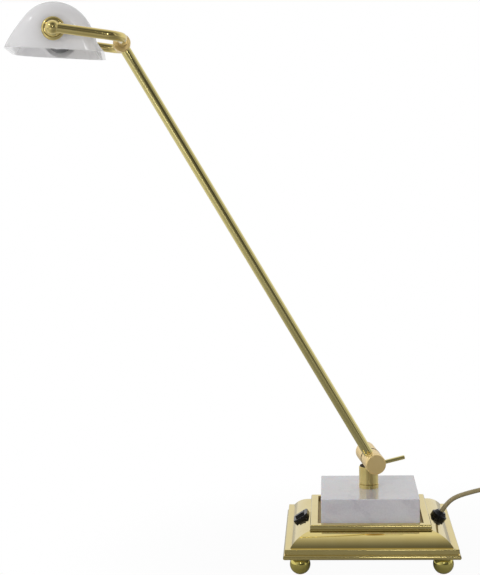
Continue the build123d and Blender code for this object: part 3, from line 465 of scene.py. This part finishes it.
def dress_rest():
    """Every CAD piece that isn't brass. The two colours are the bright and the deep tone."""
    assign(marble(), "marble_block")
    assign(opal_glass(), "glass_shade")
    assign(clear_glass(), "bulb_glass")
    assign(black_plastic(), "switch_housing", "switch_rocker", "cord_bush", "lampholder")
    steel = plain_metal("steel", (0.62, 0.62, 0.63), (0.50, 0.50, 0.52), rough=0.32)
    cast = {"rough": 0.7, "metallic": 0.6, "grain": 0.0001}
    iron = plain_metal("cast_iron", (0.12, 0.115, 0.11), (0.06, 0.055, 0.05), **cast)
    nickel = plain_metal("pin_nickel", (0.80, 0.79, 0.76), (0.70, 0.68, 0.64), rough=0.18)
    aluminium = plain_metal("cap_aluminium", (0.75, 0.73, 0.68), (0.62, 0.60, 0.55), rough=0.3)
    wire = plain_metal("filament_wire", (0.40, 0.38, 0.36), (0.28, 0.26, 0.25), rough=0.4)
    speckled = {"rough": 0.35, "scale": 200.0, "grain": PLASTIC_GRAIN, "through": WASHER_SHARE}
    washer = matte("white_plastic", (0.94, 0.94, 0.93), (0.90, 0.90, 0.89), **speckled)
    fibrous = {"rough": 0.7, "scale": 500.0, "grain": 0.00003}
    # The dark fibre also colours the post washer, a dark ring put in the shaded neck under the barrel as
    # painted shade
    fibre_and_shade = matte("dark_fibre", (0.050, 0.038, 0.026), (0.028, 0.020, 0.014), **fibrous)
    moulded = {"rough": 0.4, "scale": 300.0, "grain": 0.00002}
    plug = matte("plug_plastic", (0.30, 0.25, 0.13), (0.24, 0.19, 0.095), **moulded)
    assign(steel, "bottom_plate", "foot_studs", "tie_tube", "tie_washer", "tie_nut")
    assign(steel, "pivot_bolt", "yoke_spindle", "stud_near", "stud_far", "stud_nut")
    assign(washer, "shade_washer_near", "shade_washer_far")
    assign(iron, "ballast_weight")
    assign(fibre_and_shade, "friction_washer", "post_washer")
    assign(plug, "plug_body")
    assign(nickel, "plug_pins")
    assign(aluminium, "bulb_cap")
    assign(wire, "bulb_filament")


# Mains lead

CORD_DIA = 4.6
# Control points in millimetres, from the bush to the table
CORD_ROUTE = [
    (73.03, 0.0, 42.25),
    (77.53, 0.0, 49.34),
    (86.2, 0.5, 56.6),
    (103.0, 2.0, 61.4),
    (120.0, 5.5, 64.3),
    (136.0, 11.0, 60.0),
    (148.0, 17.0, 49.0),
    (156.5, 22.5, 35.0),
    (164.0, 27.5, 21.0),
    (175.0, 32.5, 8.6),
    (188.5, 36.0, 3.4),
    (202.0, 36.0, 3.4),
]
COIL_STEP = 5.2
COIL_OUTER = 30.5
COIL_HALF_TURNS = (4, 4, 4, 3)
COIL_SPACING = pi / 8
TAIL_ROUTE = [
    (0.0, 0.0, 0.0),
    (0.0, -22.0, 0.0),
    (0.0, -36.0, -4.2),
    (0.0, -52.0, -12.0),
    (0.0, -68.0, -12.0),
]
ROUND_STEPS = 5
CURVE_STEPS = 6


def turn_points(start, heading, inwards, radius, count):
    """Control points of one turn of the coil, which starts along a heading and bends inwards."""
    centre = start + inwards * radius
    reach = radius / cos(COIL_SPACING / 2)
    angles = [(step + 0.5) * COIL_SPACING for step in range(count)]
    return [centre + (heading * sin(angle) - inwards * cos(angle)) * reach for angle in angles]


def coil_points(start):
    """Half turns that spiral in and out, climbing a layer where the spiral reverses.

    Also gives where they end.
    """
    half_turn = round(pi / COIL_SPACING)
    quarter_turn = half_turn // 2
    heading = Vector((1, 0, 0))
    place = start + heading * CORD_DIA
    radius = COIL_OUTER
    step = -COIL_STEP / 2
    points = []
    for layer, half_turns in enumerate(COIL_HALF_TURNS):
        for _ in range(half_turns):
            across = Vector((heading.y, -heading.x, 0))
            points += turn_points(place, heading, across, radius, half_turn)
            place = place + across * (2 * radius)
            heading = -heading
            radius += step
        if layer + 1 < len(COIL_HALF_TURNS):
            across = Vector((heading.y, -heading.x, 0))
            slant = across * radius + Vector((0, 0, COIL_STEP / 2))
            points += turn_points(place, heading, slant.normalized(), slant.length, half_turn)
            place = place + slant * 2
            heading = -heading
            step = -step
            radius += step
    across = Vector((heading.y, -heading.x, 0))
    points += turn_points(place, heading, across, radius, quarter_turn)
    end = place + (across + heading) * radius + across * CORD_DIA
    return points, end


def make_lead():
    """The lead as one smooth curve from the bush to the plug. Also gives where it leaves the bush."""
    route = [Vector(place) for place in CORD_ROUTE]
    coil, end = coil_points(route[-1])
    places = route + coil + [end + Vector(place) for place in TAIL_ROUTE]
    data = bpy.data.curves.new("mains_lead", "CURVE")
    data.dimensions = "3D"
    data.bevel_depth = CORD_DIA / 2 * MM
    data.bevel_resolution = ROUND_STEPS
    data.resolution_u = CURVE_STEPS
    data.use_fill_caps = True
    spline = data.splines.new("NURBS")
    spline.points.add(len(places) - 1)
    for control, place in zip(spline.points, places):
        control.co = (*(place * MM), 1)
    spline.order_u = 3
    spline.use_endpoint_u = True
    lead = bpy.data.objects.new("mains_lead", data)
    bpy.context.scene.collection.objects.link(lead)
    data.materials.append(gold_cord())
    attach(lead, "base")
    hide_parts("mains_cord", "cord_coil", "cord_tail")
    return lead, route[0] * MM


TIE_THICK = 0.8 * MM
TIE_STEPS = 72
TIE_ROWS = 9
TIE_SQUARENESS = 0.30
TIE_EDGE_POWER = 6
TIE_EDGE_SHARE = 0.35
TIE_BRIGHT = (0.030, 0.030, 0.031)
TIE_DEEP = (0.014, 0.014, 0.015)


def squared(part):
    """A sine or cosine drawn out, so that a round becomes a square with soft corners."""
    return copysign(abs(part) ** TIE_SQUARENESS, part)


def make_tie():
    """A soft strap round the bundle of turns, thinner towards its two edges."""
    low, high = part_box("cord_tie")
    middle = (low + high) / 2
    half = (high - low) / 2
    form = bmesh.new()
    rings = []
    outer = [(row, -1) for row in range(TIE_ROWS)]
    inner = [(row, 1) for row in reversed(range(TIE_ROWS))]
    for step in range(TIE_STEPS):
        angle = 2 * pi * step / TIE_STEPS
        across = squared(cos(angle))
        rise = squared(sin(angle))
        ring = []
        for row, side in outer + inner:
            along = row / (TIE_ROWS - 1) * 2 - 1
            fullness = TIE_EDGE_SHARE + (1 - TIE_EDGE_SHARE) * (1 - abs(along) ** TIE_EDGE_POWER)
            inset = TIE_THICK / 2 * (1 + side * fullness)
            x = middle.x + across * (half.x - inset)
            z = middle.z + rise * (half.z - inset)
            ring.append(form.verts.new((x, middle.y + along * half.y, z)))
        rings.append(ring)
    for ring, following in zip(rings, rings[1:] + rings[:1]):
        for first in range(len(ring)):
            second = (first + 1) % len(ring)
            form.faces.new((ring[first], ring[second], following[second], following[first]))
    bmesh.ops.recalc_face_normals(form, faces=form.faces)
    mesh = bpy.data.meshes.new("lead_tie")
    form.to_mesh(mesh)
    form.free()
    mesh.shade_smooth()
    tie = bpy.data.objects.new("lead_tie", mesh)
    bpy.context.scene.collection.objects.link(tie)
    woven = {"rough": 0.75, "scale": 1500.0, "grain": 0.00008}
    mesh.materials.append(matte("tie_strap", TIE_BRIGHT, TIE_DEEP, **woven))
    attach(tie, "base")
    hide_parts("cord_tie")
    return tie


# Stage: what the metal mirrors, the white floor and the lamps

DARK_SIDE = (0.35, -0.80, 0.45)
WINDOW_AZIMUTH = (radians(57), radians(60), radians(64), radians(67))
WINDOW_RISE = (-0.05, 0.05, 0.62, 0.78)
BACKDROP_LEVEL = 0.84
DARK_FALL = 0.78
DARK_REACH = (0.14, 0.95)
WINDOW_LEVEL = 0.60
WALL_AZIMUTH = (radians(-70), radians(-35), radians(25), radians(50))
WALL_RISE = (0.20, 0.36, 0.52, 0.70)
WALL_LEVEL = 0.20
LIT_SHARE = 0.88
WHITE = (1, 1, 1, 1)
FLOOR_RADIUS = 3.0
FLOOR_SIDES = 96
FLOOR_DROP = 0.0002
FLOOR_FADE = (0.12, 0.34)
FLOOR_WHITE_SHARES = (0.965, 1.0)
# Painted shade and light in the floor's paint: greyer towards the camera and near the object, lighter to the
# left
FLOOR_DEPTH = (-0.5, 0.4)
FLOOR_PAINTED_TONES = (0.32, 0.90)
FLOOR_LEFT = (-0.15, -0.9)
FLOOR_LEFT_LIFT = 0.3
FLOOR_NEAR = (0.20, 0.70)
FLOOR_PAINTED_SHADE_SHARES = (0.68, 1.0)


def make_world():
    """A white backdrop behind that fades over the ceiling to a dim room with a lit wall and a tall window."""
    world = bpy.data.worlds.new("studio")
    bpy.context.scene.world = world
    tree = Tree(world)
    background = tree.nodes["Background"]
    direction = tree.add("TexCoord").outputs["Generated"]
    axes = tree.add("SeparateXYZ", {"Vector": direction}).outputs
    dark_side = {0: direction, 1: Vector(DARK_SIDE).normalized()}
    facing_dark = tree.add("VectorMath", dark_side, operation="DOT_PRODUCT").outputs["Value"]
    azimuth = tree.math("ARCTAN2", axes["X"], tree.math("MULTIPLY", axes["Y"], -1.0))

    def between(value, stops):
        rise = tree.step(value, stops[0], stops[1])
        fall = tree.step(value, stops[3], stops[2])
        return tree.math("MULTIPLY", rise, fall)

    near_dark = {"Value": facing_dark, "From Min": DARK_REACH[0], "From Max": DARK_REACH[1]}
    dark = tree.add("MapRange", near_dark).outputs["Result"]
    room = tree.math("MULTIPLY_ADD", dark, -DARK_FALL, BACKDROP_LEVEL)
    window = tree.math("MULTIPLY", between(azimuth, WINDOW_AZIMUTH), between(axes["Z"], WINDOW_RISE))
    wall = tree.math("MULTIPLY", between(azimuth, WALL_AZIMUTH), between(axes["Z"], WALL_RISE))
    room = tree.math("MULTIPLY_ADD", wall, WALL_LEVEL, room)
    level = tree.math("MULTIPLY_ADD", window, WINDOW_LEVEL, room)
    light = tree.add("LightPath").outputs
    mirrored = tree.math("MAXIMUM", light["Is Glossy Ray"], light["Is Transmission Ray"])
    shown = tree.math("MAXIMUM", light["Is Camera Ray"], mirrored)
    seen = tree.math("MAXIMUM", light["Is Camera Ray"], level)
    lit = tree.math("MULTIPLY", level, LIT_SHARE)
    strength = tree.add("Mix", {"Factor": shown, "A": lit, "B": seen}).outputs["Result"]
    tree.set(background, "Color", WHITE)
    tree.set(background, "Strength", strength)


def make_floor():
    """A white floor that keeps a soft shadow near the object and runs out to plain white.

    Its paint is greyed with painted shade near the object and towards the camera and lightened to the left,
    and the metal mirrors it so.
    """
    form = bmesh.new()
    bmesh.ops.create_circle(form, cap_ends=True, radius=FLOOR_RADIUS, segments=FLOOR_SIDES)
    mesh = bpy.data.meshes.new("floor")
    form.to_mesh(mesh)
    form.free()
    floor = bpy.data.objects.new("floor", mesh)
    bpy.context.scene.collection.objects.link(floor)
    floor.location.z = -FLOOR_DROP
    made = bpy.data.materials.new("floor")
    tree = Tree(made)
    tree.nodes.clear()
    place = tree.add("TexCoord").outputs["Object"]
    distance = tree.add("VectorMath", {0: place}, operation="LENGTH").outputs["Value"]
    camera_ray = tree.add("LightPath").outputs["Is Camera Ray"]
    white_share = tree.range(tree.step(distance, *FLOOR_FADE), *FLOOR_WHITE_SHARES)
    share = tree.math("MULTIPLY", camera_ray, white_share)
    axes = tree.add("SeparateXYZ", {"Vector": place}).outputs
    # Painted shade: the paint is greyed towards the camera, lifted to the left and darkened near the object
    tone = tree.range(tree.step(axes["Y"], *FLOOR_DEPTH), *FLOOR_PAINTED_TONES)
    tone = tree.math("MULTIPLY_ADD", tree.step(axes["X"], *FLOOR_LEFT), FLOOR_LEFT_LIFT, tone)
    painted_near_shade = tree.range(tree.step(distance, *FLOOR_NEAR), *FLOOR_PAINTED_SHADE_SHARES)
    tone = tree.math("MULTIPLY", tone, painted_near_shade)
    grey = tree.add("CombineColor", {"Red": tone, "Green": tone, "Blue": tone}).outputs["Color"]
    paint = tree.add("BsdfDiffuse", {"Color": grey}).outputs["BSDF"]
    white = tree.add("Emission", {"Color": WHITE, "Strength": 1.0}).outputs["Emission"]
    mixed = tree.add("MixShader", {0: share, 1: paint, 2: white}).outputs["Shader"]
    tree.add("OutputMaterial", {"Surface": mixed})
    mesh.materials.append(made)


def make_lamp(name, place, target, size, power, in_gloss=False):
    """A round soft lamp, which the metal and the glass mirror only where in_gloss is set."""
    data = bpy.data.lights.new(name, "AREA")
    data.shape = "DISK"
    data.size = size
    data.energy = power
    lamp = bpy.data.objects.new(name, data)
    bpy.context.scene.collection.objects.link(lamp)
    lamp.location = place
    aim = Vector(target) - Vector(place)
    lamp.rotation_euler = aim.to_track_quat("-Z", "Y").to_euler()
    lamp.visible_glossy = in_gloss
    lamp.visible_camera = False


make_camera()
dress_brass()
dress_rest()
lead, lead_exit = make_lead()
tie = make_tie()
make_world()
make_floor()
make_lamp("soft_top", place=(-0.5, 0.5, 1.7), target=(-0.1, 0, 0.25), size=1.2, power=1.2)
make_lamp("soft_front", place=(-0.7, -1.6, 0.7), target=(-0.15, 0, 0.3), size=0.9, power=14.5)
make_lamp("lamp_front", place=(0.12, -1.7, 0.75), target=(-0.1, 0, 0.25), size=0.20, power=0.8, in_gloss=True)
make_lamp("window_right", place=(1.3, -0.7, 0.9), target=(-0.05, 0, 0.25), size=0.30, power=2.5)
make_lamp("lamp_left", place=(-1.1, -0.9, 1.3), target=(-0.1, 0, 0.3), size=0.22, power=1.3, in_gloss=True)

bpy.context.scene.view_settings.view_transform = "Standard"
